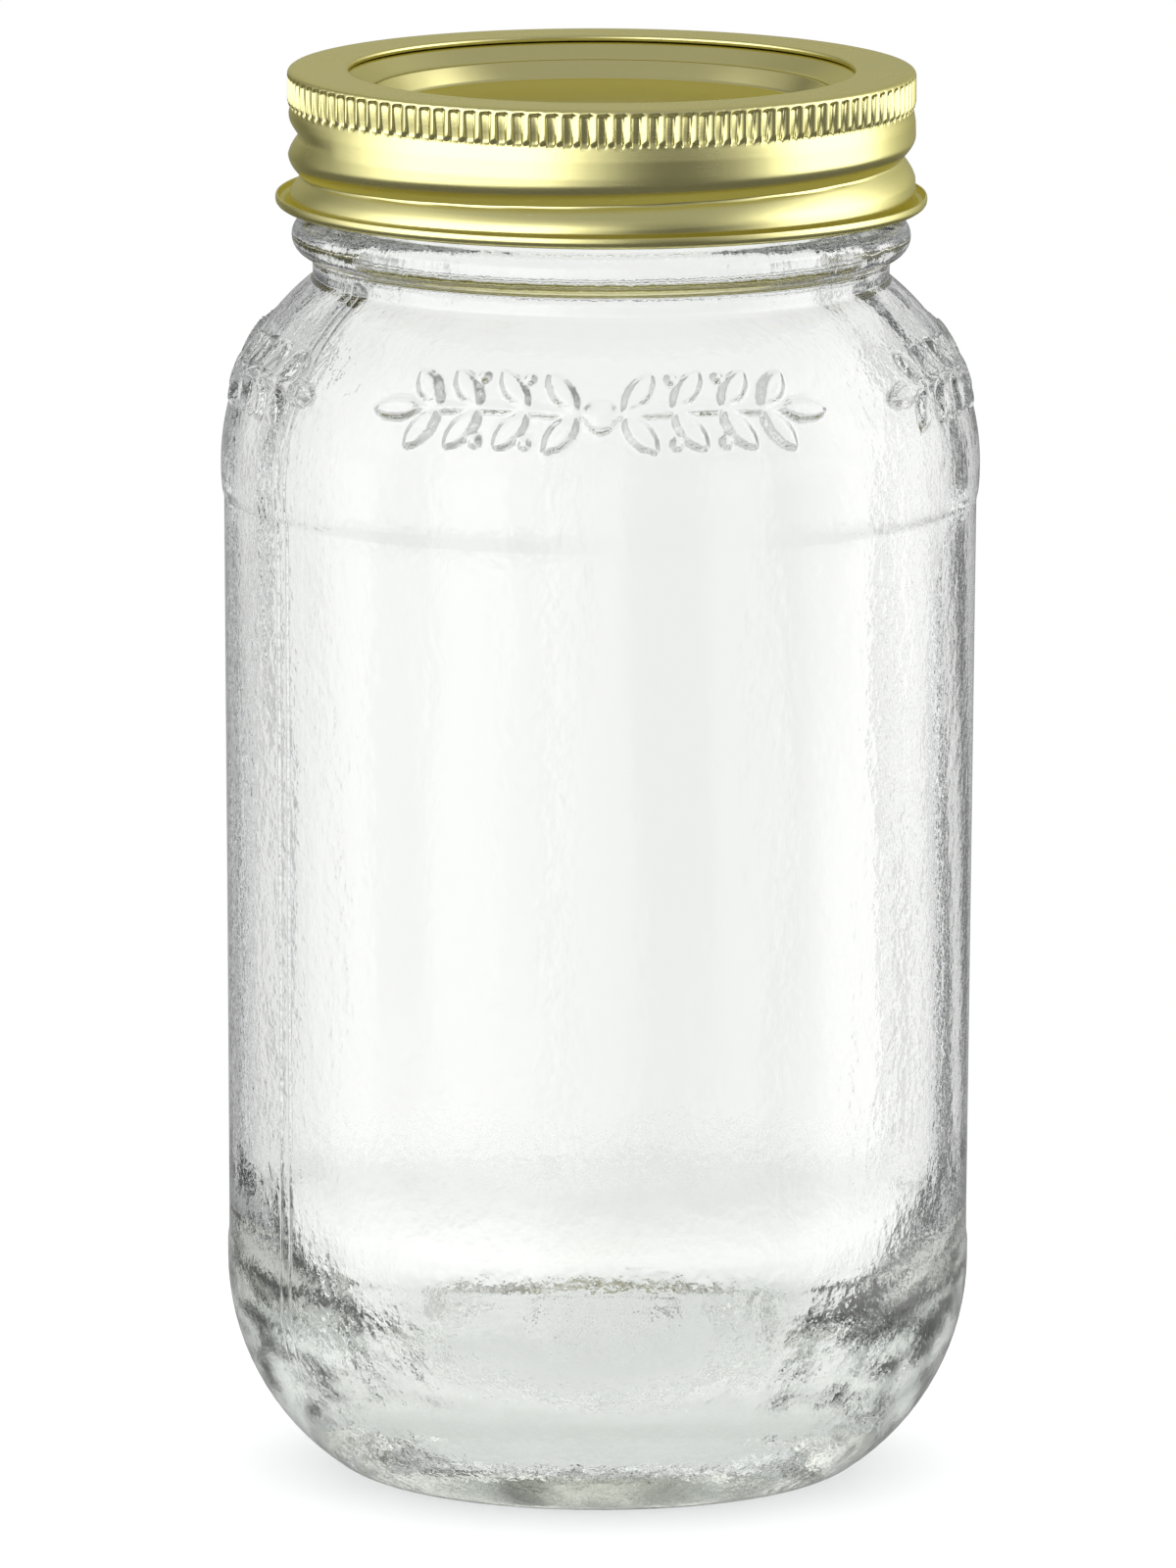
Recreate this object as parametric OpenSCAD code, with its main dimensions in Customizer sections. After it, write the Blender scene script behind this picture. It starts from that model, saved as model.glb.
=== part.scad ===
// Screw-top preserving jar: a blown glass jar, a flat sheet-metal disc with its
// bonded sealing ring, and a separate screw band that clamps the disc on the rim.
// Millimetres, +Z up, origin at the centre of the circle that the jar stands on.

/* [Glass jar] */
// Height of the glass alone, from the table to the rim
glass_h = 164.7; // [160:0.1:175]
// Largest radius of the shoulder
shoulder_r = 44.5; // [43:0.1:46]
// Radius of the body just below the shoulder step
panel_top_r = 44.1; // [43:0.1:44.3]
// Radius of the body just above the heel step
panel_low_r = 43.45; // [43:0.05:43.6]
// Radius of the body at the top of the heel
heel_top_r = 43.6; // [43:0.1:44]
// Thickness of the side wall
wall_t = 3; // [2.4:0.1:3.6]
// Radius of the large curve of the heel
heel_r = 29; // [26:0.5:32]
// Radius of the small curve between the heel and the table
toe_r = 7; // [5:0.5:9]
// Outer radius of the ring that the jar stands on
foot_r = 27; // [26:0.1:28]
// Radius of the shoulder curve
shoulder_curve_r = 27.5; // [27:0.1:28]
// Height of the widest point of the shoulder
shoulder_z = 119.8; // [118:0.1:121]

/* [Neck finish] */
// Radius of the straight neck under the collar
neck_r = 33.75; // [33.2:0.05:34.2]
// Radius of the rounded collar below the band
collar_r = 36.2; // [35.6:0.1:36.2]
// Radius of the wall that carries the glass thread
finish_r = 33.5; // [33.2:0.1:33.6]
// Radius over the crest of the glass thread
glass_thread_r = 34.9; // [34.7:0.05:35]
// Radius of the mouth
bore_r = 30; // [29:0.1:30.4]
// Rise of the thread in one turn
lead = 5.08; // [5:0.01:5.2]

/* [Disc and sealing ring] */
// Radius of the disc
disc_r = 34; // [33.8:0.05:34.1]
// Thickness of the disc's sheet
disc_t = 0.25; // [0.2:0.01:0.3]
// Thickness of the sealing ring between the disc and the rim
seal_t = 0.7; // [0.5:0.05:0.9]
// Depth of the centre panel below the disc's outer ring
panel_drop = 4.25; // [3.6:0.05:4.6]

/* [Screw band] */
// Height of the band
band_h = 16; // [15.5:0.1:16.2]
// Radius over the knurled rim
knurl_r = 36.75; // [36.7:0.05:37]
// Radius of the round window in the band's top
window_r = 29.6; // [29.5:0.05:29.7]
// Thickness of the band's sheet
sheet_t = 0.3; // [0.26:0.01:0.32]
// Radius over the rolled bottom edge
bead_r = 38.1; // [37.9:0.05:38.4]
// Number of flutes round the knurled rim
flutes = 116; // [100:1:124]
// Radius to the crest of the band's inward thread
band_thread_r = 34.5; // [34.45:0.05:34.6]

/* [Hidden] */
$fn = 128;

// Colours
glass_colour = [0.86, 0.91, 0.9, 0.4];
gold_colour = [0.82, 0.77, 0.52];
disc_colour = [0.72, 0.68, 0.4];
seal_colour = [0.9, 0.88, 0.82];

// Heel: the junction angle makes both curves meet in one tangent
heel_join = acos((foot_r + heel_r - heel_top_r) / (heel_r - toe_r));
heel_top_z = toe_r + (heel_r - toe_r) * sin(heel_join);
heel_step_z = heel_top_z + 3.2;
foot_land = 2.4;
push_up = 3.2;
push_up_rim = 1;

// Inside of the base: the wall thickens towards the heel along an oval curve
floor_z = 9.5;
floor_edge_r = 19;
floor_edge_z = 8.4;
inner_heel_w = 24;
inner_heel_h = 34;
inner_heel_z = 42;
inner_heel_end = -78;
inner_wall_low_r = heel_top_r - wall_t + 0.3;

// Shoulder and neck
shoulder_cx = shoulder_r - shoulder_curve_r;
panel_step_z = shoulder_z - 3.4;
neck_z = shoulder_z + sqrt(pow(shoulder_curve_r, 2) - pow(neck_r - shoulder_cx, 2));
inner_curve_r = shoulder_curve_r - wall_t;
inner_neck_z = shoulder_z + sqrt(pow(inner_curve_r, 2) - pow(bore_r - shoulder_cx, 2));
collar_low_z = neck_z + 2.4;
collar_h = 4.6;
collar_edge = 1.2;
rim_edge = 0.9;

// Stack of the closure above the rim
disc_under_z = glass_h + seal_t;
disc_top_z = disc_under_z + disc_t;
play = 0.05;
band_top_z = disc_top_z + play + sheet_t;
band_low_z = band_top_z - band_h;

// Disc outline: an outer channel, two sloping steps with a ledge between, and a panel
channel_in_r = bore_r + 0.6;
throat_r = channel_in_r - 1.3;
throat_drop = 0.7;
ledge_r = 27.1;
ledge_drop = panel_drop / 2;
ledge_w = 0.45;
panel_r = 24.9;
dome = 0.25;
slant = 0.12;
curl_h = 0.55;

// Band details
knurl_h = 4.4;
knurl_wall = 0.75;
skirt_r = knurl_r - 0.15;
lip_drop = 0.45;
curl_r = 0.8;
flute_r = 0.5;
flute_bite = 0.4;
flute_inset = 0.45;

// Threads: a point of the band's notch line at angle 0, and how far each thread runs
notch_z = band_top_z - 10.05;
thread_gap = 2.2;
thread_step = 7.5;
thread_fade = 30;
band_thread_from = -225;
band_thread_to = 210;
glass_thread_from = -225;
glass_thread_to = 255;
sink = 0.3;

// Points of a circular arc in the r-z plane
function arc(cx, cz, r, from, to, steps = 20) =
    [for (i = [0 : steps]) let (a = from + (to - from) * i / steps)
        [cx + r * cos(a), cz + r * sin(a)]];

// Points of an upright oval's arc in the r-z plane
function oval(cx, cz, w, h, from, to, steps = 20) =
    [for (i = [0 : steps]) let (a = from + (to - from) * i / steps)
        [cx + w * cos(a), cz + h * sin(a)]];

// Grows from 0 to 1 at both ends of a thread, so that it runs out smoothly
function run_in(a, from, to) =
    min(1, 0.02 + (a - from) / thread_fade, 0.02 + (to - a) / thread_fade);

// A helical rib. Each profile entry is [radius, height, depth of its run-in]:
// the last value is how far the point falls back towards the root at the ends.
// The profile runs anticlockwise when seen with the radius to the right.
module helical_rib(profile, z_at_zero, from, to) {
    rings = ceil((to - from) / thread_step);
    sides = len(profile);
    points = [for (i = [0 : rings]) let (a = from + (to - from) * i / rings)
        for (p = profile) let (r = p[0] + p[2] * (1 - run_in(a, from, to)))
            [r * cos(a), r * sin(a), z_at_zero + lead * a / 360 + p[1]]];
    walls = [for (i = [0 : rings - 1], j = [0 : sides - 1])
        let (k = (j + 1) % sides, low = i * sides, high = low + sides)
            each [[low + j, low + k, high + k], [low + j, high + k, high + j]]];
    first_end = [[for (j = [sides - 1 : -1 : 0]) j]];
    last_end = [[for (j = [0 : sides - 1]) rings * sides + j]];
    polyhedron(points, concat(walls, first_end, last_end), convexity = 6);
}

module jar_glass() {
    outer = concat(
        [[0, push_up]],
        [[foot_r - foot_land - 1, push_up_rim], [foot_r - foot_land, 0]],
        arc(foot_r, toe_r, toe_r, -90, -heel_join, 8),
        arc(heel_top_r - heel_r, heel_top_z, heel_r, -heel_join, 0, 16),
        [[heel_top_r, heel_step_z - 1], [panel_low_r, heel_step_z]],
        [[panel_top_r, panel_step_z - 1], [shoulder_r - 0.1, panel_step_z + 0.6]],
        arc(shoulder_cx, shoulder_z, shoulder_curve_r, 0,
            asin((neck_z - shoulder_z) / shoulder_curve_r), 20),
        [[neck_r, collar_low_z], [collar_r - collar_edge, collar_low_z + 0.3]],
        arc(collar_r - collar_edge, collar_low_z + 0.3 + collar_edge, collar_edge, -60, 0, 4),
        arc(collar_r - collar_edge, collar_low_z + collar_h - collar_edge, collar_edge, 0, 75, 5),
        [[finish_r, collar_low_z + collar_h + 0.4]],
        arc(finish_r - rim_edge, glass_h - rim_edge, rim_edge, 0, 90, 5));
    inner = concat(
        arc(bore_r + rim_edge, glass_h - rim_edge, rim_edge, 90, 180, 5),
        arc(shoulder_cx, shoulder_z, inner_curve_r,
            asin((inner_neck_z - shoulder_z) / inner_curve_r), 0, 16),
        oval(inner_wall_low_r - inner_heel_w, inner_heel_z, inner_heel_w, inner_heel_h,
            0, inner_heel_end, 14),
        [[floor_edge_r, floor_edge_z], [0, floor_z]]);
    // Thread: root sunk in the wall, crest over it
    thread = [[finish_r - sink, -1.45, 0], [glass_thread_r, -0.55, finish_r - glass_thread_r],
        [glass_thread_r, 0.55, finish_r - glass_thread_r], [finish_r - sink, 1.45, 0]];
    color(glass_colour) union() {
        rotate_extrude() polygon(concat(outer, inner));
        helical_rib(thread, notch_z + thread_gap, glass_thread_from, glass_thread_to);
    }
}

module lid_disc() {
    steps = [[panel_r, -panel_drop], [ledge_r - ledge_w, -ledge_drop - 0.15],
        [ledge_r, -ledge_drop], [throat_r, -throat_drop], [channel_in_r, 0]];
    top = concat([[0, dome - panel_drop]], steps, [[disc_r, 0]]);
    under = concat(
        [[disc_r, -curl_h], [disc_r - disc_t, -curl_h], [disc_r - disc_t, -disc_t]],
        [for (i = [len(steps) - 1 : -1 : 0]) [steps[i][0] + slant, steps[i][1] - disc_t]],
        [[0, dome - panel_drop - disc_t]]);
    color(disc_colour) translate([0, 0, disc_top_z])
        rotate_extrude() polygon(concat(top, under));
}

module sealing_ring() {
    color(seal_colour) translate([0, 0, glass_h]) difference() {
        cylinder(h = seal_t, r = disc_r - disc_t);
        translate([0, 0, -1]) cylinder(h = seal_t + 2, r = bore_r + 0.8);
    }
}

module screw_band() {
    skirt_in = skirt_r - sheet_t;
    knurl_low = band_top_z - knurl_h;
    wall = [[window_r, band_top_z - lip_drop], [window_r, band_top_z - 0.15],
        [window_r + 0.15, band_top_z], [knurl_r - 0.4, band_top_z],
        [knurl_r, band_top_z - 0.4], [knurl_r, knurl_low], [skirt_r, knurl_low - 0.3],
        [skirt_r, band_low_z + 0.3], [skirt_in, band_low_z + 0.3],
        [skirt_in, knurl_low - 0.9], [knurl_r - knurl_wall, knurl_low],
        [knurl_r - knurl_wall, band_top_z - sheet_t],
        [window_r + sheet_t, band_top_z - sheet_t],
        [window_r + sheet_t, band_top_z - lip_drop]];
    crest = band_thread_r;
    rib_root = skirt_r - sheet_t / 2;
    rib = [[rib_root, 2.4, 0], [crest, 0.3, rib_root - crest - 0.1],
        [crest, -0.3, rib_root - crest - 0.1], [rib_root, -1.05, 0]];
    groove_root = skirt_r + sink;
    groove_crest = crest + sheet_t;
    groove = [[groove_root, 2.35, 0], [groove_crest, 0.15, skirt_r - groove_crest],
        [groove_crest, -0.15, skirt_r - groove_crest], [groove_root, -0.85, 0]];
    color(gold_colour) difference() {
        union() {
            rotate_extrude() polygon(wall);
            rotate_extrude() translate([bead_r - curl_r, band_low_z + curl_r]) circle(r = curl_r, $fn = 32);
            helical_rib(rib, notch_z, band_thread_from, band_thread_to);
        }
        helical_rib(groove, notch_z, band_thread_from, band_thread_to);
        for (i = [0 : flutes - 1])
            rotate([0, 0, i * 360 / flutes])
                translate([knurl_r + flute_r - flute_bite, 0, knurl_low + flute_inset])
                    cylinder(h = knurl_h - 2 * flute_inset, r = flute_r, $fn = 16);
    }
}

jar_glass();
lid_disc();
sealing_ring();
screw_band();
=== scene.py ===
"""Screw-top preserving jar: detailed meshes, materials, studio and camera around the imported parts.

Lengths in this file are millimetres until a mesh is made, and angles round the axis are degrees
anticlockwise from +X, so the front of the jar is at -90.
"""

import math

import bpy
import numpy as np
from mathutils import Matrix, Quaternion, Vector


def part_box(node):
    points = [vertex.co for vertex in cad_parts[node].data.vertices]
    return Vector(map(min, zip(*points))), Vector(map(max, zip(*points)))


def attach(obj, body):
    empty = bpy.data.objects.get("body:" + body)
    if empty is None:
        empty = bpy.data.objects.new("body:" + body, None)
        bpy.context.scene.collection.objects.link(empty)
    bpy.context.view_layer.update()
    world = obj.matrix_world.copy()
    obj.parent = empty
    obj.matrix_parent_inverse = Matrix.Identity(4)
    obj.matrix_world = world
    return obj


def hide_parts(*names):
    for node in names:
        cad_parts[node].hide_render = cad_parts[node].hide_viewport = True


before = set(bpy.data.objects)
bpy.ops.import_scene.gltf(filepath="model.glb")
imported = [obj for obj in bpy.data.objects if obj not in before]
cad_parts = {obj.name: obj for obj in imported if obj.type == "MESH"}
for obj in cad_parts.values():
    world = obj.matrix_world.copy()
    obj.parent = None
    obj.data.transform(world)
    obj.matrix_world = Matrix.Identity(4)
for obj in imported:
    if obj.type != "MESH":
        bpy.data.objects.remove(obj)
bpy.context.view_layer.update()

MM = 0.001
FRONT = -90.0
LEAD = 5.08  # rise of the thread in one turn
AXIS_R = 1e-6  # a ring smaller than this is a single point on the axis
CORNER_SHARE = 0.45  # most of an edge that one rounded corner takes up


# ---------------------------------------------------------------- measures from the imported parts

def extent(node):
    """Outer radius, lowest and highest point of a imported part, in millimetres."""
    low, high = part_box(node)
    return high.x / MM, low.z / MM, high.z / MM


SHOULDER_R, _, RIM_Z = extent("jar_glass")
DISC_R, _, DISC_Z = extent("lid_disc")
SEAL_R, SEAL_LOW, SEAL_HIGH = extent("sealing_ring")
BEAD_R, BAND_LOW, BAND_TOP = extent("screw_band")
NOTCH_Z = BAND_TOP - 10.05  # height of the pressed thread at angle 0


# ---------------------------------------------------------------- mesh helpers

def smooth(x, low, high):
    """0 below low, 1 above high, and an eased step between."""
    t = np.clip((x - low) / (high - low), 0, 1)
    return t * t * (3 - 2 * t)


def arc(cx, cz, r, start, end, steps):
    """Points of an arc in the r-z plane, both ends included."""
    a = np.radians(np.linspace(start, end, steps + 1))
    return [(cx + r * math.cos(v), cz + r * math.sin(v)) for v in a]


def oval(cx, cz, w, h, start, end, steps):
    """Points of an upright oval's arc in the r-z plane, both ends included."""
    a = np.radians(np.linspace(start, end, steps + 1))
    return [(cx + w * math.cos(v), cz + h * math.sin(v)) for v in a]


def line(r0, z0, r1, z1, steps):
    """Points of a straight stretch, both ends included."""
    return [(r0 + (r1 - r0) * i / steps, z0 + (z1 - z0) * i / steps) for i in range(steps + 1)]


def fillet(points, size, steps=3):
    """The same outline with every corner inside it rounded off."""
    out = [points[0]]
    for before, here, after in zip(points, points[1:], points[2:]):
        before, here, after = (np.array(p, float) for p in (before, here, after))
        back, on = before - here, after - here
        a = here + back * min(CORNER_SHARE, size / np.linalg.norm(back))
        b = here + on * min(CORNER_SHARE, size / np.linalg.norm(on))
        for i in range(steps + 1):
            t = i / steps
            out.append(tuple((1 - t) ** 2 * a + 2 * t * (1 - t) * here + t * t * b))
    out.append(points[-1])
    return out


def turned(theta, at):
    """Angles from a given one, between -180 and 180."""
    return (theta - at + 180) % 360 - 180


def outward(points):
    """Unit normals of an outline that runs anticlockwise with the radius to the right."""
    p = np.array(points)
    d = np.gradient(p, axis=0)
    n = np.stack([d[:, 1], -d[:, 0]], 1)
    return n / np.maximum(np.linalg.norm(n, axis=1, keepdims=True), 1e-9)


def ripple(seed, count, turns, waves):
    """Repeatable soft noise round a body: a function of angle in degrees and height."""
    rng = np.random.default_rng(seed)
    m = rng.integers(turns[0], turns[1] + 1, count)
    k = rng.uniform(-waves, waves, count)
    phase = rng.uniform(0, math.tau, count)
    size = rng.uniform(0.4, 1, count) / math.sqrt(count)

    def value(theta, z):
        return sum(s * np.cos(i * np.radians(theta) + j * z + p)
                   for i, j, p, s in zip(m, k, phase, size))
    return value


def stitch(a, b):
    """Faces between two rings of vertex numbers: equal, one twice the other, or a single pole."""
    na, nb = len(a), len(b)
    an, bn = np.roll(a, -1), np.roll(b, -1)
    if na == 1:
        return [(a[0], y1, y0) for y0, y1 in zip(b, bn)]
    if nb == 1:
        return [(x0, x1, b[0]) for x0, x1 in zip(a, an)]
    if na == nb:
        return list(zip(a, an, bn, b))
    faces = []
    if na == 2 * nb:
        for k in range(nb):
            x0, x1, x2 = a[2 * k], a[2 * k + 1], a[(2 * k + 2) % na]
            faces += [(x0, x1, b[k]), (x1, bn[k], b[k]), (x1, x2, bn[k])]
    else:
        for k in range(na):
            y0, y1, y2 = b[2 * k], b[2 * k + 1], b[(2 * k + 2) % nb]
            faces += [(a[k], y1, y0), (a[k], an[k], y1), (an[k], y2, y1)]
    return faces


def sweep(name, rings, closed, material, body, slot, *nodes):
    """A mesh from rings of (angles, radii, heights), which rides on a body and stands for nodes."""
    verts, faces, numbers, total = [], [], [], 0
    for theta, r, z in rings:
        t = np.radians(theta)
        r, z = np.broadcast_to(r, t.shape), np.broadcast_to(z, t.shape)
        verts.append(np.stack([r * np.cos(t), r * np.sin(t), z], 1) * MM)
        numbers.append(np.arange(total, total + len(t)))
        total += len(t)
    for a, b in zip(numbers, numbers[1:] + (numbers[:1] if closed else [])):
        faces += stitch(a, b)
    mesh = bpy.data.meshes.new(name)
    mesh.from_pydata(np.concatenate(verts).tolist(), [], [tuple(map(int, f)) for f in faces])
    mesh.polygons.foreach_set("use_smooth", [True] * len(mesh.polygons))
    mesh.materials.append(material)
    obj = bpy.data.objects.new(name, mesh)
    bpy.context.scene.collection.objects.link(obj)
    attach(obj, body)
    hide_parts(*nodes)
    return obj


# ---------------------------------------------------------------- shader helpers

def add(tree, kind, inputs=None, **settings):
    """A node with its settings, and its inputs set to values or linked to sockets."""
    made = tree.nodes.new(kind)
    for key, value in settings.items():
        setattr(made, key, value)
    for key, value in (inputs or {}).items():
        if isinstance(value, bpy.types.NodeSocket):
            tree.links.new(value, made.inputs[key])
        else:
            made.inputs[key].default_value = value
    return made


def math_node(tree, operation, *values):
    """The result socket of one Math node."""
    return add(tree, "ShaderNodeMath", dict(enumerate(values)), operation=operation).outputs[0]


def mapped(tree, value, from_low, from_high, to_low, to_high, ease="SMOOTHSTEP"):
    """The result socket of a clamped Map Range node."""
    return add(tree, "ShaderNodeMapRange", {"Value": value, 1: from_low, 2: from_high, 3: to_low,
               4: to_high}, interpolation_type=ease).outputs["Result"]


def weighed(tree, a, share_a, b, share_b):
    """The sum of two sockets, each times its share."""
    return math_node(tree, "ADD", math_node(tree, "MULTIPLY", a, share_a),
                     math_node(tree, "MULTIPLY", b, share_b))


def noise(tree, vector, scale, detail=3.0, roughness=0.5):
    """The factor socket of a Noise Texture."""
    return add(tree, "ShaderNodeTexNoise", {"Vector": vector, "Scale": scale, "Detail": detail,
               "Roughness": roughness}).outputs[0]


def stretched(tree, scale):
    """Object coordinates scaled along each axis, for grain that runs one way."""
    coords = add(tree, "ShaderNodeTexCoord").outputs["Object"]
    return add(tree, "ShaderNodeMapping", {"Vector": coords, "Scale": scale}).outputs[0]


def mixed(tree, factor, low, high):
    """A number between two numbers or sockets."""
    return add(tree, "ShaderNodeMix", {0: factor, 2: low, 3: high}, data_type="FLOAT").outputs[0]


def blend_colour(tree, factor, low, high):
    """A colour socket between two colours."""
    mix = add(tree, "ShaderNodeMix", {0: factor, 6: (*low, 1), 7: (*high, 1)}, data_type="RGBA")
    return mix.outputs[2]


def mirrored_twice(tree, path):
    """1 for a ray reflected twice or more: inside thick glass, light that can't get out."""
    return math_node(tree, "GREATER_THAN", path["Glossy Depth"], 1.5)


def new_material(name):
    """A material with one Principled shader, and its node tree."""
    made = bpy.data.materials.new(name)
    made.use_nodes = True
    tree = made.node_tree
    tree.nodes.clear()
    shader = tree.nodes.new("ShaderNodeBsdfPrincipled")
    out = tree.nodes.new("ShaderNodeOutputMaterial")
    tree.links.new(shader.outputs[0], out.inputs["Surface"])
    return made, tree, shader, out


# ---------------------------------------------------------------- materials

def metal(name, low, high, rough, rolled, coat):
    """Lacquered sheet: two tones of gold, grain left by rolling, and uneven satin gloss."""
    made, tree, shader, _ = new_material(name)
    cloud = noise(tree, stretched(tree, (60, 60, 60)), 1.0, 4.0)
    grain = noise(tree, stretched(tree, rolled), 1.0, 4.0, 0.65)
    tone = weighed(tree, cloud, 0.6, grain, 0.4)
    tree.links.new(blend_colour(tree, tone, low, high), shader.inputs["Base Color"])
    tree.links.new(mapped(tree, tone, 0.3, 0.7, *rough, "LINEAR"), shader.inputs["Roughness"])
    bump = add(tree, "ShaderNodeBump", {"Height": grain, "Strength": 0.12, "Distance": 0.00003})
    tree.links.new(bump.outputs[0], shader.inputs["Normal"])
    shader.inputs["Metallic"].default_value = 1.0
    shader.inputs["Specular Tint"].default_value = (1.0, 0.97, 0.6, 1)
    shader.inputs["Coat Weight"].default_value = coat
    shader.inputs["Coat Roughness"].default_value = 0.12
    return made


def seal_material():
    """Soft cream compound with a faintly mottled, slightly waxy surface."""
    made, tree, shader, _ = new_material("sealing_compound")
    mottle = noise(tree, stretched(tree, (400, 400, 400)), 1.0, 5.0)
    tone = blend_colour(tree, mottle, (0.62, 0.58, 0.50), (0.74, 0.70, 0.62))
    tree.links.new(tone, shader.inputs["Base Color"])
    tree.links.new(mapped(tree, mottle, 0.3, 0.7, 0.45, 0.62), shader.inputs["Roughness"])
    bump = add(tree, "ShaderNodeBump", {"Height": mottle, "Strength": 0.3, "Distance": 0.0001})
    tree.links.new(bump.outputs[0], shader.inputs["Normal"])
    shader.inputs["Subsurface Weight"].default_value = 0.15
    shader.inputs["Subsurface Scale"].default_value = 0.001
    return made


def glass_material():
    """Clear glass, finely hammered: shadows and trapped light go straight through it, dimmed by a
    painted shade toward its edges.
    """
    made, tree, shader, out = new_material("clear_glass")
    shader.inputs["Base Color"].default_value = (0.985, 0.99, 0.985, 1)
    shader.inputs["Roughness"].default_value = 0.0
    shader.inputs["Transmission Weight"].default_value = 1.0
    shader.inputs["IOR"].default_value = 1.5
    broad = noise(tree, stretched(tree, (330, 330, 230)), 1.0, 2.0)
    fine = noise(tree, stretched(tree, (850, 850, 650)), 1.0, 2.0, 0.6)
    height = weighed(tree, broad, 0.55, fine, 0.45)
    bump = add(tree, "ShaderNodeBump", {"Height": height, "Strength": 0.7, "Distance": 0.00018})
    tree.links.new(bump.outputs[0], shader.inputs["Normal"])
    # painted shade: the see-through stand-in darkens toward grazing edges, setting how dark the
    # glass's shadow and its trapped edge light look
    edge = add(tree, "ShaderNodeLayerWeight", {"Blend": 0.35}).outputs["Facing"]
    edge_shade = blend_colour(tree, edge, (0.98, 0.982, 0.985), (0.63, 0.64, 0.66))
    clear = add(tree, "ShaderNodeBsdfTransparent", {"Color": edge_shade})
    depth = add(tree, "ShaderNodeVolumeAbsorption",
                {"Color": (0.62, 0.68, 0.5, 1), "Density": 8.0})
    tree.links.new(depth.outputs[0], out.inputs["Volume"])
    path = add(tree, "ShaderNodeLightPath").outputs
    straight = math_node(tree, "MAXIMUM", path["Is Shadow Ray"], path["Is Diffuse Ray"])
    straight = math_node(tree, "MAXIMUM", straight, mirrored_twice(tree, path))
    mix = add(tree, "ShaderNodeMixShader",
              {0: straight, 1: shader.outputs[0], 2: clear.outputs[0]})
    tree.links.new(mix.outputs[0], out.inputs["Surface"])
    return made


GLASS = glass_material()
GOLD = metal("gold_lacquer", (0.80, 0.745, 0.33), (0.87, 0.815, 0.39), (0.22, 0.29),
             (60, 60, 2600), 0.05)
LACQUER = metal("disc_lacquer", (0.78, 0.72, 0.32), (0.86, 0.80, 0.38), (0.13, 0.19),
                (900, 900, 900), 0.1)
SEAL = seal_material()


# ---------------------------------------------------------------- the glass jar

WALL = 3.0
# the foot's outer edge, and the two arcs from there up to the step at the top of the heel
FOOT_R, TOE_R, HEEL_R, HEEL_TOP_R = 27.0, 7.0, 29.0, 43.6
HEEL_JOIN = math.degrees(math.acos((FOOT_R + HEEL_R - HEEL_TOP_R) / (HEEL_R - TOE_R)))
HEEL_Z = TOE_R + (HEEL_R - TOE_R) * math.sin(math.radians(HEEL_JOIN))
BODY_LOW_R, BODY_TOP_R, BODY_TOP_Z = 43.45, 44.1, 115.4
# the shoulder is one arc, from the step up to the neck
CURVE_R, CURVE_Z = 27.5, 119.8
CURVE_CX = SHOULDER_R - CURVE_R
NECK_R, BORE_R, FINISH_R, THREAD_R, RIM_EDGE = 33.75, 30.0, 33.5, 34.9, 0.9
# the inside: the wall's radius at its foot, and the upright oval below it
LOW_WALL_R, INNER_HEEL_Z, INNER_HEEL_W, INNER_HEEL_H = 40.9, 42.0, 24, 34
NECK_ANGLE = math.degrees(math.acos((NECK_R - CURVE_CX) / CURVE_R))
NECK_Z = CURVE_Z + CURVE_R * math.sin(math.radians(NECK_ANGLE))
COLLAR_Z, COLLAR_TOP = NECK_Z + 4.9, NECK_Z + 7.3
SEAM_ANGLES = (FRONT - 55.6, FRONT - 58.1, FRONT + 124.4, FRONT + 121.9)
SEAM_MIDDLES = (FRONT - 56.85, FRONT + 123.15)
SEAM_COLUMNS_MM = (-0.55, -0.3, -0.15, 0, 0.15, 0.3, 0.55)
GLASS_COLUMNS = 320
# the leafy spray, in degrees up the shoulder's arc
SPRIG_LOW, SPRIG_MIDDLE, SPRIG_HIGH, SPRIG_ROWS = 11.0, 24.5, 38.0, 34


def glass_columns():
    """Angles round the glass: an even spread, with more at the mould seams."""
    clearance = 0.35
    extra = [s + math.degrees(mm / SHOULDER_R) for s in SEAM_ANGLES for mm in SEAM_COLUMNS_MM]
    even = [v for v in np.linspace(-180, 180, GLASS_COLUMNS, endpoint=False)
            if min(abs(v - e) for e in extra) > clearance]
    coarse = np.array(sorted([(v + 180) % 360 - 180 for v in extra] + even))
    gaps = np.append(coarse[1:], coarse[0] + 360) - coarse
    return np.stack([coarse, coarse + gaps / 2], 1).ravel()


def leaf(u, v, u0, v0, angle, length, width, lift):
    """Height of one pointed, domed leaf that starts at (u0, v0) and points along angle."""
    vein_depth, vein_width = 0.22, 0.3
    c, s = math.cos(math.radians(angle)), math.sin(math.radians(angle))
    along = ((u - u0) * c + (v - v0) * s) / length
    across = (v - v0) * c - (u - u0) * s
    half = width / 2 * np.clip(4 * along * (1 - along), 0, 1) ** 0.85
    inside = (along > 0) & (along < 1) & (half > 0)
    q = np.clip(np.abs(across) / np.maximum(half, 1e-6), 0, 1)
    vein = 1 - vein_depth * np.exp(-(across / vein_width) ** 2)
    dome = lift * np.sqrt(1 - q * q) * vein
    return np.where(inside, dome, 0)


def berry(u, v, u0, v0, radius, lift):
    """Height of one round boss."""
    q = np.hypot(u - u0, v - v0) / radius
    return lift * np.sqrt(np.clip(1 - q * q, 0, 1))


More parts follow.
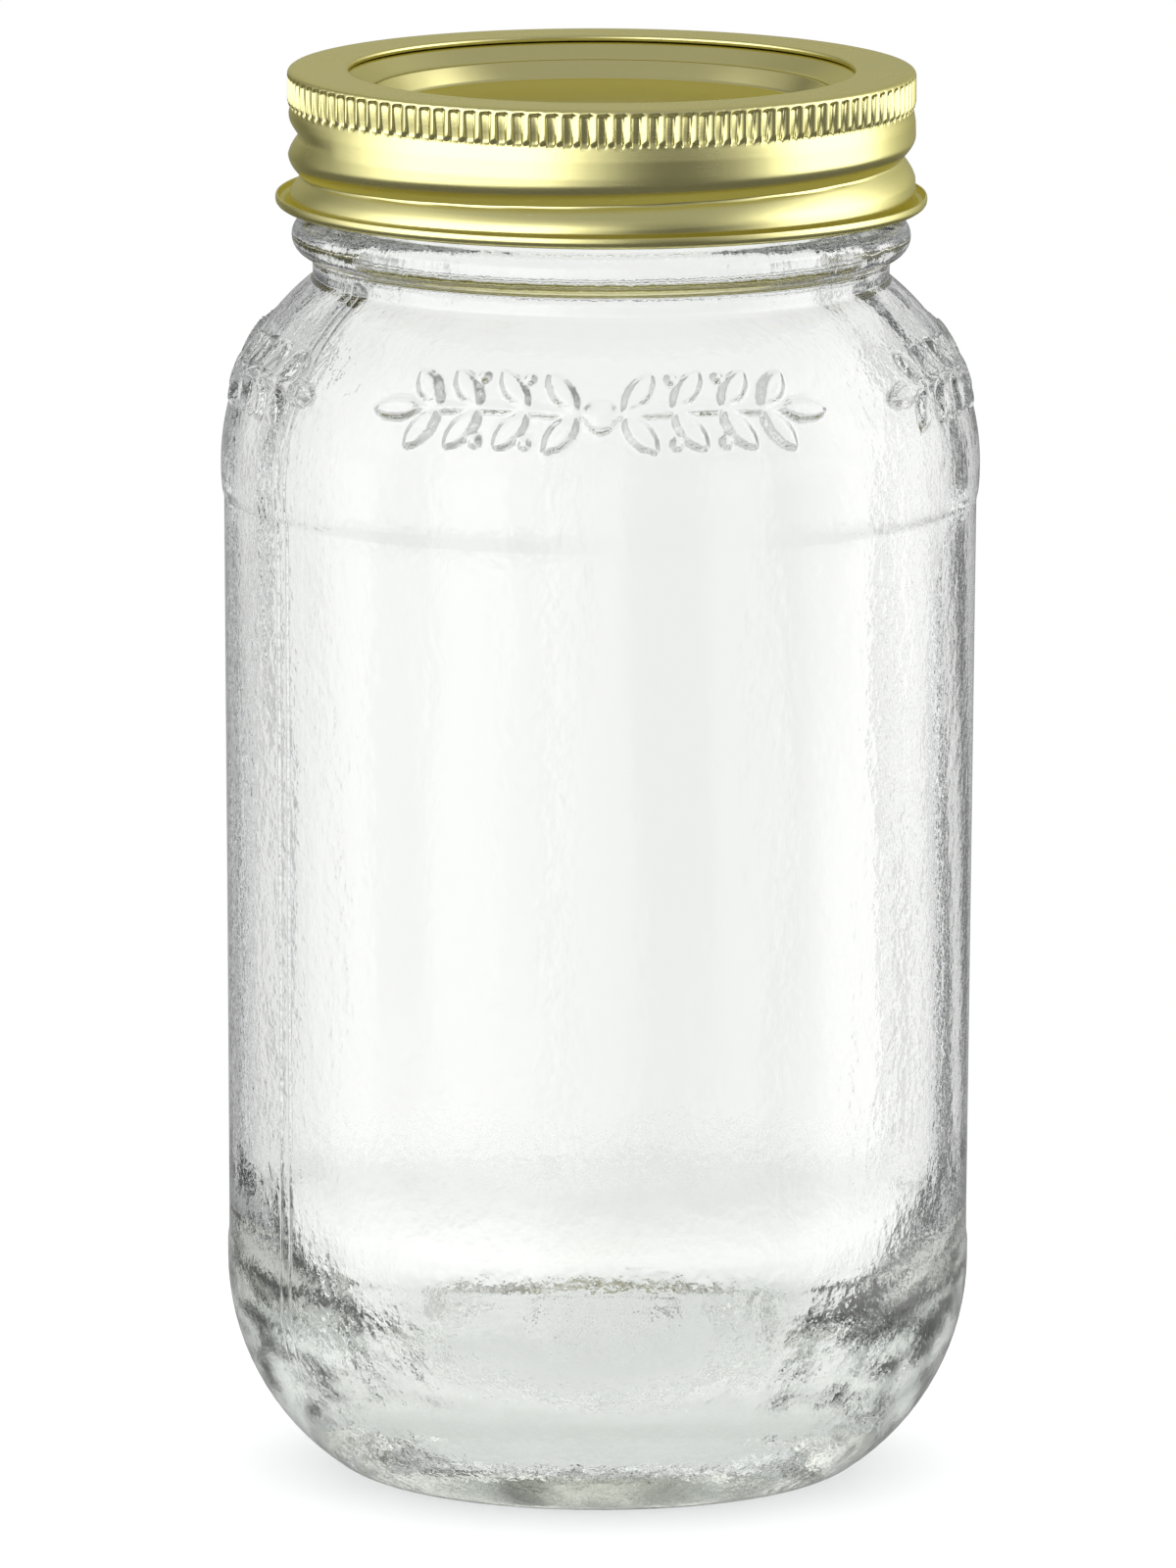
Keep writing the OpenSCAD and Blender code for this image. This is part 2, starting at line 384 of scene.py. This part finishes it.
def sprig(theta, angle):
    """Relief of a plain leafy spray, mirrored about its middle, at the front and at both sides."""
    stem_lift, stem_half, stem_end = 0.5, 0.6, 22.5
    quarter = (theta - FRONT + 45) % 90 - 45
    at_back = np.abs(turned(theta, FRONT)) > 135
    u = np.abs(np.radians(quarter) * (CURVE_CX + CURVE_R * math.cos(math.radians(SPRIG_MIDDLE))))
    v = np.full_like(u, math.radians(angle - SPRIG_MIDDLE) * CURVE_R)
    sag = 0.0045 * (u - 12) ** 2 - 0.65
    v = v + sag
    stem = stem_lift * np.sqrt(np.clip(1 - (v / stem_half) ** 2, 0, 1)) * (u < stem_end)
    shapes = [stem, berry(u, v, 0, 0, 2.1, 0.75), leaf(u, v, 21.5, 0, 0, 6.2, 2.8, 0.75)]
    for side in (1, -1):
        shapes += [leaf(u, v, base, 0.3 * side, 52 * side, 5.6, 2.9, 0.8)
                   for base in (2.8, 8.6, 14.4, 19.4)]
        shapes += [berry(u, v, base, 3.9 * side, 0.8, 0.6) for base in (8.6, 14.4)]
    return np.where(at_back, 0, np.maximum.reduce(shapes))


def seam(theta, r, z):
    """Relief of the two fine lines that the mould leaves, and the small knob where they meet."""
    ridge_lift, ridge_half = 0.13, 0.17
    knob_lift, knob_half, knob_rise, knob_z = 0.4, 0.9, 0.8, NECK_Z + 0.5
    lines = np.array([turned(theta, s) for s in SEAM_ANGLES])
    ridge = np.exp(-(np.radians(lines) * r / ridge_half) ** 2).max(0)
    knobs = np.array([turned(theta, s) for s in SEAM_MIDDLES])
    boss = np.exp(-((np.radians(knobs) * r / knob_half) ** 2).min(0)
                  - ((z - knob_z) / knob_rise) ** 2)
    fade = smooth(z, 14, 24) * (1 - smooth(z, NECK_Z, NECK_Z + 1.5))
    return ridge_lift * ridge * fade + knob_lift * boss


def helix(theta, z, start, end, fade):
    """Height above a helix at each angle, and how far it has run in, for each of its passes."""
    passes = []
    for turn in range(-2, 3):
        t = theta + 360 * turn
        run = np.clip(np.minimum(t - start, end - t) / fade, 0, 1)
        passes.append((z - LEAD * t / 360, run))
    return passes


def glass_thread(theta, z):
    """Relief of the thread round the finish, which lies just above the band's pressed thread."""
    above_notch, start, end, fade = 2.2, -225, 255, 30
    out = np.zeros_like(theta)
    for above, run in helix(theta, z - NOTCH_Z - above_notch, start, end, fade):
        crest = 1 - smooth(np.abs(above), 0.4, 1.5)
        out = np.maximum(out, run * (THREAD_R - FINISH_R) * crest)
    return out


def glass_jar():
    """The jar as one closed mesh: base, body, shoulder, neck, threaded finish, and the inside."""
    fine = glass_columns()
    coarse = fine[::2]
    outer_wave = ripple(11, 16, (2, 9), 0.08)
    inner_wave = ripple(23, 26, (4, 34), 0.10)
    inner_swell = ripple(5, 8, (2, 5), 0.05)
    skin, sunk, wave_mm, swell_mm, neck_extra = 0.035, 1.2, 0.10, 0.16, 0.55

    base = fillet([(0, 3.2), (9, 3.1), (9.6, 2.8), (16, 2.6), (23.2, 1.2), (24.6, 0),
                   (FOOT_R, 0)], 0.7)[:-1]
    heel = (arc(FOOT_R, TOE_R, TOE_R, -90, -HEEL_JOIN, 9)
            + arc(HEEL_TOP_R - HEEL_R, HEEL_Z, HEEL_R, -HEEL_JOIN, 0, 16)[1:]
            + fillet([(HEEL_TOP_R, HEEL_Z + 1), (HEEL_TOP_R, HEEL_Z + 2.2),
                      (BODY_LOW_R, HEEL_Z + 3.2), (BODY_LOW_R, HEEL_Z + 4.4)], 0.4))
    body = line(BODY_LOW_R, HEEL_Z + 6, BODY_TOP_R, BODY_TOP_Z, 24)
    step = [(BODY_TOP_R + 0.06, BODY_TOP_Z + 0.5), (BODY_TOP_R + 0.2, BODY_TOP_Z + 1.0),
            (SHOULDER_R - 0.12, BODY_TOP_Z + 1.6), (SHOULDER_R - 0.03, BODY_TOP_Z + 2.8)]
    low_curve = arc(CURVE_CX, CURVE_Z, CURVE_R, 0, SPRIG_LOW, 4)[:-1]
    sprig_curve = arc(CURVE_CX, CURVE_Z, CURVE_R, SPRIG_LOW, SPRIG_HIGH, SPRIG_ROWS)
    sprig_angles = np.linspace(SPRIG_LOW, SPRIG_HIGH, SPRIG_ROWS + 1)
    neck = fillet(arc(CURVE_CX, CURVE_Z, CURVE_R, SPRIG_HIGH, NECK_ANGLE, 5)[1:]
                  + [(NECK_R, NECK_Z + 1.6), (34.0, NECK_Z + 2.5)], 0.5)
    collar = (oval(33.6, COLLAR_Z, 2.6, 2.4, -68, 68, 12)
              + fillet([(34.2, NECK_Z + 7.25), (FINISH_R, NECK_Z + 7.5),
                        (FINISH_R, NECK_Z + 8.2)], 0.35))
    finish = line(FINISH_R, NECK_Z + 8.6, FINISH_R, RIM_Z - RIM_EDGE - 0.4, 32)
    rim = (arc(FINISH_R - RIM_EDGE, RIM_Z - RIM_EDGE, RIM_EDGE, 0, 90, 5)
           + arc(BORE_R + RIM_EDGE, RIM_Z - RIM_EDGE, RIM_EDGE, 90, 180, 5))

    inner_r = CURVE_R - WALL
    inner_neck = math.degrees(math.acos((BORE_R - CURVE_CX) / inner_r))
    bore_low = CURVE_Z + inner_r * math.sin(math.radians(inner_neck)) + 1
    inside = (line(BORE_R, RIM_Z - 2, BORE_R, bore_low, 7)
              + arc(CURVE_CX, CURVE_Z, inner_r, inner_neck, 0, 14)
              + line(SHOULDER_R - WALL, CURVE_Z - 3, LOW_WALL_R, INNER_HEEL_Z + 3, 22)
              + oval(LOW_WALL_R - INNER_HEEL_W, INNER_HEEL_Z, INNER_HEEL_W, INNER_HEEL_H,
                     0, -76, 18)
              + [(20.6, 8.45), (18, 8.4), (14, 8.7), (9, 9.1), (5, 9.4), (0, 9.5)])

    below_sprig = base + heel + body + step + low_curve
    outside = below_sprig + sprig_curve + neck + collar + finish + rim
    outline = outside + inside
    normals = outward(outline)
    first_sprig, first_inside = len(below_sprig), len(outside)
    rings = []
    for i, ((r, z), (nr, nz)) in enumerate(zip(outline, normals)):
        if r < AXIS_R:
            rings.append((np.zeros(1), 0.0, z))
            continue
        on_sprig = first_sprig <= i < first_sprig + len(sprig_curve)
        theta = fine if on_sprig else coarse
        if i >= first_inside:
            quiet = smooth(z, 6, 16) * (1 - smooth(z, 150, 158))
            thick = smooth(z, CURVE_Z + 4, NECK_Z - 6) * (1 - smooth(z, NECK_Z - 4, NECK_Z + 3))
            uneven = wave_mm * inner_wave(theta, z) + swell_mm * inner_swell(theta, z)
            lift = quiet * uneven + neck_extra * thick
        else:
            quiet = smooth(z, 2, 14) * (1 - smooth(z, NECK_Z - 1, NECK_Z + 3))
            lift = quiet * skin * (outer_wave(theta, z) - sunk) + seam(theta, r, z)
            if on_sprig:
                lift = lift + sprig(theta, sprig_angles[i - first_sprig])
            elif COLLAR_TOP < z < RIM_Z - RIM_EDGE:
                lift = lift + glass_thread(theta, z)
        rings.append((theta, r + nr * lift, z + nz * lift))
    return sweep("blown_glass", rings, False, GLASS, "jar", "clear_glass", "jar_glass")


glass_jar()


# ---------------------------------------------------------------- the screw band

SHEET = 0.3
KNURL_R, KNURL_LOW, KNURL_FOOT_R, WINDOW_R = 36.75, BAND_TOP - 4.4, 36.42, 29.6
FLUTES, PITCH_MM = 116, 1.99
# positions across one flute, in millimetres: its ridge first, then its slot
ACROSS = np.array([0.03, 0.25, 0.5, 0.75, 0.87, 0.93, 0.99, 1.2, 1.5, 1.8, 1.88, 1.96])
RIDGE_END, SLOT_START, SLOT_MIDDLE, SLOT_HALF = 0.9, 0.95, 1.42, 0.56
# where the pressed thread starts and ends, and how far round it takes to fade in
THREAD_START, THREAD_END, THREAD_FADE = -225, 212, 32


def flute_columns():
    """Angles round the band, closer together at the walls of each flute."""
    pitch, centre = 360 / FLUTES, 1.43
    return np.concatenate([(i + (ACROSS - centre) / PITCH_MM) * pitch for i in range(FLUTES)])


def flute_radius(radius, z):
    """Radii of one row of the knurl: each ridge leans one way and each slot floor the other."""
    lean = np.interp(ACROSS, [0, 0.25, 0.5, 0.75, RIDGE_END, PITCH_MM],
                     [0.4, 0.2, 0.07, 0.01, 0, 0.24])
    slot = np.interp(ACROSS, [0.88, 0.98, 1.84, 1.97], [0, 0.25, 0.26, 0.16])
    above_slot = max(z - (BAND_TOP - 1.1), 0) / 0.5
    reach = np.hypot((ACROSS - SLOT_MIDDLE) / SLOT_HALF, above_slot)
    top = 1 - smooth(z, BAND_TOP - 0.75, BAND_TOP - 0.3)
    foot = KNURL_LOW + 0.5 * np.clip(ACROSS, 0, RIDGE_END) * (ACROSS < RIDGE_END)
    rise = smooth(z, foot - 0.1, foot + 0.35)
    deeper = 0.3 * (ACROSS > SLOT_START) * (1 - smooth(z, KNURL_LOW, BAND_TOP - 1.2))
    row = radius - lean * top - (slot + deeper) * (1 - smooth(reach, 0.8, 1.15))
    return np.tile(KNURL_FOOT_R + (row - KNURL_FOOT_R) * rise, FLUTES)


def groove_depth(theta, z):
    """How far the pressed thread pulls the skirt in: a line with a long curve on either side."""
    deepest, above_mm, below_mm = 1.6, 2.5, 2.7
    out = np.zeros_like(theta)
    for above, run in helix(theta, z - NOTCH_Z, THREAD_START, THREAD_END, THREAD_FADE):
        upper = np.clip(1 - above / above_mm, 0, 1) ** 1.8 * (above >= 0)
        lower = np.clip(1 + above / below_mm, 0, 1) ** 1.5 * (above < 0)
        out = np.maximum(out, run * deepest * (upper + lower))
    return out


def skirt_radius(z):
    """Radius of the skirt before the thread is pressed in: two shallow bellies."""
    heights = [150.6, 151.4, 152.4, 153.6, 155.5, 158.0, 160.0, 160.9, 161.4]
    radii = [36.54, 36.68, 36.72, 36.66, 36.6, 36.74, 36.70, 36.55, KNURL_FOOT_R]
    return float(np.interp(z, heights, radii))


def screw_band():
    """The band as one closed mesh: skirt, fluted rim, flange, and the rolled gutter at its foot."""
    fine = flute_columns()
    middle, coarse = fine[::2], fine[::4]
    dents = ripple(31, 10, (2, 7), 0.2)
    curl = fillet([(36.25, 151.1), (36.3, 150.35), (36.75, BAND_LOW), (37.6, BAND_LOW),
                   (BEAD_R, 150.45), (BEAD_R, 151.2), (37.92, 151.4), (37.78, 151.25),
                   (37.78, 150.6), (37.4, 150.3), (36.95, 150.35), (36.6, 150.8),
                   (36.55, 151.3)], 0.3, 2)
    rings = [(coarse, r, z + 0.02 * dents(coarse, z)) for r, z in curl[1:-1]]
    for z in np.arange(151.5, 161.35, 0.23):
        outer = skirt_radius(z) - groove_depth(coarse, z)
        rings.append((coarse, outer + 0.03 * dents(coarse, z), z))
    knurl = [(KNURL_R, z) for z in (161.4, 161.6, 161.8, 162.0, 162.2, 162.45, 163.2, 164.1,
                                    164.7, 164.95, 165.1, 165.25, 165.4)]
    knurl += [(36.73, 165.52), (36.68, 165.66), (36.58, 165.8), (36.42, 165.91)]
    for i, (r, z) in enumerate(knurl):
        row = flute_radius(r, z)
        theta, row = (middle, row[::2]) if i == 0 else (fine, row)
        rings.append((theta, row - groove_depth(theta, z), z))
    flange = [(36.15, 165.97), (35.4, BAND_TOP), (33.6, 165.985), (31.6, 165.97), (30.4, 165.98),
              (30.0, 165.99), (29.8, 165.96), (29.66, 165.86), (WINDOW_R, 165.7), (29.61, 165.5),
              (29.7, 165.36), (29.84, 165.36), (29.92, 165.5), (29.98, 165.64), (31.5, 165.7),
              (35.4, 165.7)]
    behind_knurl = [(35.9, 165.6), (35.9, 165.3), (35.85, 163.5), (35.8, 161.9), (36.0, 161.5)]
    rings.append((middle, *flange[0]))
    rings += [(coarse, r, z) for r, z in flange[1:] + behind_knurl]
    widest_inside = 36.2
    for z in np.arange(161.2, 151.3, -0.29):
        inner = skirt_radius(z) - SHEET - groove_depth(coarse, z)
        inner = np.minimum(inner + 0.03 * dents(coarse, z), widest_inside)
        rings.append((coarse, inner, z))
    return sweep("rolled_band", rings, True, GOLD, "band", "gold_band", "screw_band")


screw_band()


# ---------------------------------------------------------------- the disc and its sealing ring

def disc():
    """The pressed disc: a flat rim, two sloping steps, a small bead, and a faintly domed panel."""
    theta = np.linspace(0, 360, 256, endpoint=False)
    sheet, rim_inner, skirt_low = 0.25, 30.4, -0.5
    top = [(DISC_R - 0.12, -0.55), (DISC_R, -0.3), (DISC_R, -0.03), (33.8, 0), (30.6, 0),
           (29.5, -0.6), (27.35, -2.05), (26.95, -2.2), (26.7, -2.2), (25.35, -4.0),
           (25.05, -4.22), (24.7, -4.22), (24.3, -4.05), (23.9, -4.12), (22.6, -4.1),
           (15, -4.06), (8.4, -4.03), (8.0, -4.01), (0, -4.0)]
    top = fillet(top, 0.14, 3)
    under = [(min(r, DISC_R - sheet), z - sheet) for r, z in top[::-1]]
    under = [(r, z) for r, z in under if z > skirt_low or r < rim_inner]
    outline = under + [(DISC_R - sheet, skirt_low)] + top
    rings = [(theta if r > AXIS_R else np.zeros(1), r, DISC_Z + z) for r, z in outline]
    return sweep("pressed_disc", rings, False, LACQUER, "lid", "lacquered_disc", "lid_disc")


def seal():
    """The soft ring under the disc, with rounded edges and the groove that a rim leaves in it."""
    theta = np.linspace(0, 360, 192, endpoint=False)
    inner, dent = 30.8, 0.02
    loop = [(inner, SEAL_HIGH - dent), (inner, SEAL_LOW), (31.2, SEAL_LOW),
            (31.5, SEAL_LOW + dent), (32.6, SEAL_LOW + dent), (32.9, SEAL_LOW),
            (SEAL_R, SEAL_LOW), (SEAL_R, SEAL_HIGH - dent)]
    middle = ((inner + SEAL_R) / 2, SEAL_HIGH)
    outline = fillet([middle, *loop, middle], 0.25, 3)[:-1]
    rings = [(theta, r, z) for r, z in outline]
    return sweep("soft_seal", rings, True, SEAL, "lid", "sealing_compound", "sealing_ring")


disc()
seal()


# ---------------------------------------------------------------- floor, studio and camera

def floor():
    """A plain pale round floor whose rim fades away; seen through glass its colour is painted light
    and shade: lighter near the jar to undo the jar's shadow there, darker far out to match the white
    beside it.
    """
    theta = np.linspace(0, 360, 128, endpoint=False)
    made, tree, shader, out = new_material("floor_paint")
    shader.inputs["Roughness"].default_value = 1.0
    shader.inputs["Specular IOR Level"].default_value = 0.0
    coords = add(tree, "ShaderNodeTexCoord").outputs["Object"]
    reach = add(tree, "ShaderNodeVectorMath", {0: coords}, operation="LENGTH").outputs["Value"]
    in_glass = add(tree, "ShaderNodeLightPath").outputs["Is Transmission Ray"]
    # painted light and shade: only for rays through glass, the floor is made lighter near the jar
    # against its shadow and darker far out
    tone = mixed(tree, in_glass, 0.82, mapped(tree, reach, 0.03, 0.1, 0.88, 0.61))
    tree.links.new(tone, shader.inputs["Base Color"])
    gone = add(tree, "ShaderNodeBsdfTransparent")
    mix = add(tree, "ShaderNodeMixShader", {0: mapped(tree, reach, 0.10, 0.155, 0, 1),
              1: shader.outputs[0], 2: gone.outputs[0]})
    tree.links.new(mix.outputs[0], out.inputs["Surface"])
    mesh = bpy.data.meshes.new("floor")
    verts = [(0.0, 0.0, 0.0)]
    for radius in (0.05, 0.1, 0.16):
        verts += [(radius * math.cos(t), radius * math.sin(t), 0.0) for t in np.radians(theta)]
    inner, middle, outer = np.arange(1, 1 + 3 * len(theta)).reshape(3, -1)
    faces = stitch(np.array([0]), inner[::-1]) + stitch(middle, inner) + stitch(outer, middle)
    mesh.from_pydata(verts, [], [tuple(map(int, f)) for f in faces])
    mesh.materials.append(made)
    obj = bpy.data.objects.new("floor", mesh)
    obj.location.z = -0.00002  # just clear of the jar's foot
    obj.visible_glossy = False
    bpy.context.scene.collection.objects.link(obj)


def studio():
    """A white studio that differs by kind of ray, as soft boxes and flags would make it."""
    white, camera_level, floor_level, metal_level = 0.97, 1.0, 1.55, 0.42
    world = bpy.data.worlds.new("studio")
    bpy.context.scene.world = world
    world.use_nodes = True
    world.cycles.sampling_method = "NONE"
    tree = world.node_tree
    tree.nodes.clear()
    direction = add(tree, "ShaderNodeTexCoord").outputs["Generated"]
    x, y, z = add(tree, "ShaderNodeSeparateXYZ", {"Vector": direction}).outputs
    turn = math_node(tree, "ARCTAN2", x, math_node(tree, "MULTIPLY", y, -1.0))

    # seen through glass: a white panel every 45 degrees with grey flags between, a mottled
    # ring above them, and white overhead and below
    panels = mapped(tree, math_node(tree, "COSINE", math_node(tree, "MULTIPLY", turn, 8.0)),
                    -0.4, 0.3, 0.0, 1.0)
    cloud = noise(tree, direction, 3.5, 3.0)
    flags = mapped(tree, cloud, 0.35, 0.65, 0.25, 0.68)
    level = mixed(tree, panels, flags, white)
    ring = mapped(tree, cloud, 0.38, 0.62, 0.3, 1.0)
    level = mixed(tree, mapped(tree, z, 0.06, 0.2, 0.0, 1.0), level, ring)
    level = mixed(tree, mapped(tree, z, 0.62, 0.8, 0.0, 1.0), level, white)
    through = mixed(tree, mapped(tree, z, -0.28, -0.42, 0.0, 1.0), level, white)

    # seen in gloss: soft boxes to the left and right of the camera, darker between and behind
    round_once = mapped(tree, turn, -math.pi, math.pi, 0, 1, "LINEAR")
    ramp = add(tree, "ShaderNodeValToRGB", {0: round_once})
    brightest = 2.5
    stops = [(-180, 0.34), (-160, 0.26), (-141, 0.1), (-112, 0.5), (-95, 1.4), (-76, 2.4),
             (-22, 2.4), (-8, 1.0), (1, 0.6), (14, 0.14), (34, 0.12), (48, 0.32), (58, 0.6),
             (68, 1.5), (80, 2.4), (112, 2.3), (126, 1.0), (142, 0.5), (162, 0.3)]
    elements = ramp.color_ramp.elements
    while len(elements) < len(stops):
        elements.new(0.5)
    for element, (degrees, strength) in zip(elements, stops):
        element.position = degrees / 360 + 0.5
        element.color = (*[strength / brightest] * 3, 1)
    boxes = math_node(tree, "MULTIPLY", ramp.outputs[0], brightest)
    boxes = math_node(tree, "ADD", boxes, mapped(tree, z, -0.1, 0.1, 0.0, 0.12))
    gloss = mixed(tree, mapped(tree, z, 0.45, 0.85, 0.0, 1.0), boxes, 0.4)
    gloss = mixed(tree, mapped(tree, z, -0.19, -0.38, 0.0, 1.0), gloss, 0.14)

    # after two reflections: scattered glints inside glass, and a plain grey in the metal
    path = add(tree, "ShaderNodeLightPath").outputs
    glints = mapped(tree, noise(tree, direction, 9.0, 2.0), 0.42, 0.58, 0.16, 1.5)
    in_glass = math_node(tree, "GREATER_THAN", path["Transmission Depth"], 0.5)
    glints = math_node(tree, "MULTIPLY", glints, mapped(tree, z, -0.3, 0.1, 0.56, 1.1))
    late = mixed(tree, in_glass, metal_level, glints)

    seen = gloss
    for ray, value in ((mirrored_twice(tree, path), late), (path["Is Diffuse Ray"], floor_level),
                       (path["Is Transmission Ray"], through),
                       (path["Is Camera Ray"], camera_level)):
        seen = mixed(tree, ray, seen, value)
    sky = add(tree, "ShaderNodeBackground", {"Color": (1, 1, 1, 1), "Strength": seen})
    out = add(tree, "ShaderNodeOutputWorld")
    tree.links.new(sky.outputs[0], out.inputs["Surface"])


def camera():
    """A long lens, a little above the jar."""
    distance, height, elevation, roll = 2.2, 0.084, math.radians(9.712), math.radians(0.2)
    aim = Vector((-0.00132, 0, 0.08124))
    place = Vector((0, -distance * math.cos(elevation), height + distance * math.sin(elevation)))
    data = bpy.data.cameras.new("camera")
    data.lens, data.sensor_width = 430.0, 36.0
    data.clip_start, data.clip_end = 0.1, 20.0
    obj = bpy.data.objects.new("camera", data)
    bpy.context.scene.collection.objects.link(obj)
    obj.location = place
    obj.rotation_mode = "QUATERNION"
    level = (aim - place).to_track_quat("-Z", "Y")
    obj.rotation_quaternion = level @ Quaternion((0, 0, 1), roll)
    bpy.context.scene.camera = obj


floor()
studio()
camera()
bpy.context.scene.view_settings.view_transform = "Standard"

bpy.context.view_layer.update()
